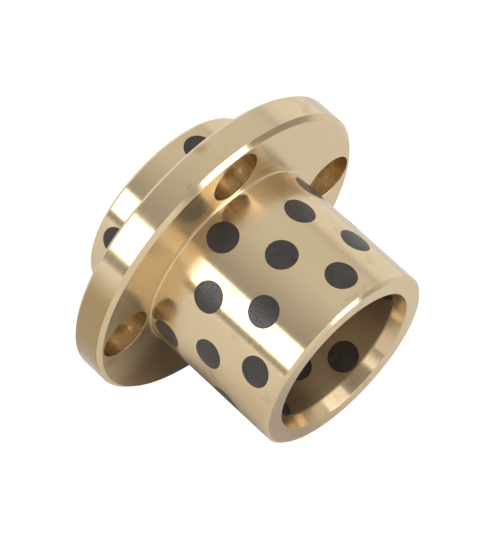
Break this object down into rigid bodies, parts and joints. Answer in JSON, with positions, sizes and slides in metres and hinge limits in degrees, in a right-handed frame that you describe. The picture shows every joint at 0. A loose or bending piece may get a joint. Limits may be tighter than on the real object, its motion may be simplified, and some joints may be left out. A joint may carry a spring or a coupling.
{
  "type": "sleeve bushing",
  "caption": "Self-lubricating sleeve bushing with a centre flange: turned bronze tube with graphite plugs through its wall, a counterbored screw flange and a short locating spigot.",
  "frame": {"origin": "on the bore axis, in the plane of the flange's seat face, which bolts down on a plate", "axes": "+Z along the bore axis towards the mouth of the long sleeve, +X towards the first screw hole"},
  "size_m": [0.107, 0.107, 0.0785],
  "materials": {
    "bronze": "fine turned and polished",
    "graphite": "dull, machined flush"
  },
  "bodies": {
    "root": {"bronze_body": "bronze", "sleeve_plug_row1_1": "graphite", "sleeve_plug_row1_2": "graphite", "sleeve_plug_row1_3": "graphite", "sleeve_plug_row1_4": "graphite", "sleeve_plug_row1_5": "graphite", "sleeve_plug_row2_1": "graphite", "sleeve_plug_row2_2": "graphite", "sleeve_plug_row2_3": "graphite", "sleeve_plug_row2_4": "graphite", "sleeve_plug_row2_5": "graphite", "sleeve_plug_row3_1": "graphite", "sleeve_plug_row3_2": "graphite", "sleeve_plug_row3_3": "graphite", "sleeve_plug_row3_4": "graphite", "sleeve_plug_row3_5": "graphite", "sleeve_plug_row4_1": "graphite", "sleeve_plug_row4_2": "graphite", "sleeve_plug_row4_3": "graphite", "sleeve_plug_row4_4": "graphite", "sleeve_plug_row4_5": "graphite", "sleeve_plug_row5_1": "graphite", "sleeve_plug_row5_2": "graphite", "sleeve_plug_row5_3": "graphite", "sleeve_plug_row5_4": "graphite", "sleeve_plug_row5_5": "graphite", "spigot_plug_1": "graphite", "spigot_plug_2": "graphite", "spigot_plug_3": "graphite", "spigot_plug_4": "graphite", "spigot_plug_5": "graphite"}
  },
  "joints": []
}
